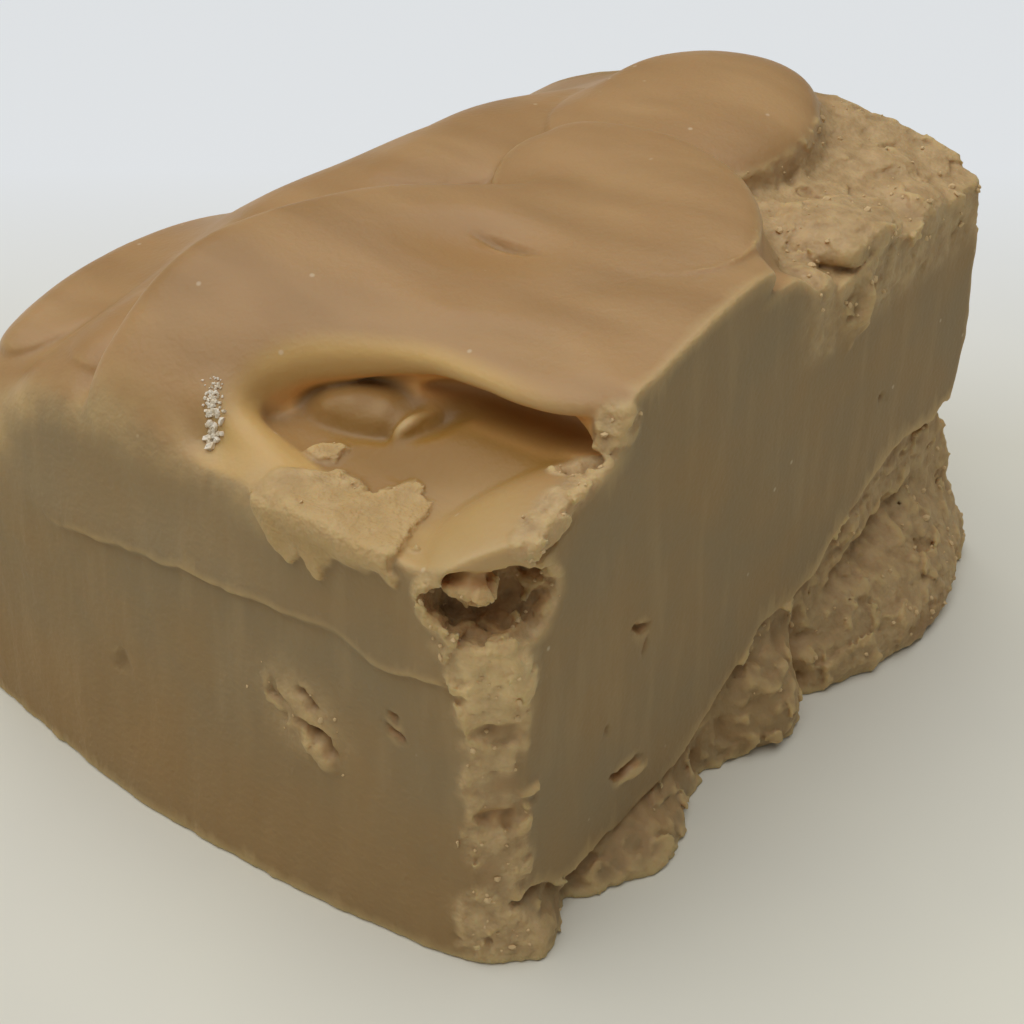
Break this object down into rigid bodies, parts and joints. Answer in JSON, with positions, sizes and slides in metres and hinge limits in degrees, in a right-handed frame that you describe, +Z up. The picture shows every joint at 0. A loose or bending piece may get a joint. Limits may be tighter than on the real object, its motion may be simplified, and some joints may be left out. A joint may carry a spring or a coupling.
{
  "type": "block of penuche fudge",
  "caption": "Hand-folded block of brown-sugar fudge, knife-cut on its sides, with smooth folds on top, a torn near edge and a crumbled foot.",
  "frame": {"origin": "middle of the block's flat underside, on the surface that it stands on", "axes": "+Z up through the folded top, -Y out of the front knife cut, +X out of the right knife cut"},
  "size_m": [0.0678, 0.0792, 0.0487],
  "materials": {
    "fudge": "waxy folded skin on top, matte knife-cut sides, pale crumbly breaks"
  },
  "bodies": {
    "root": {"fudge": "fudge"}
  },
  "joints": []
}
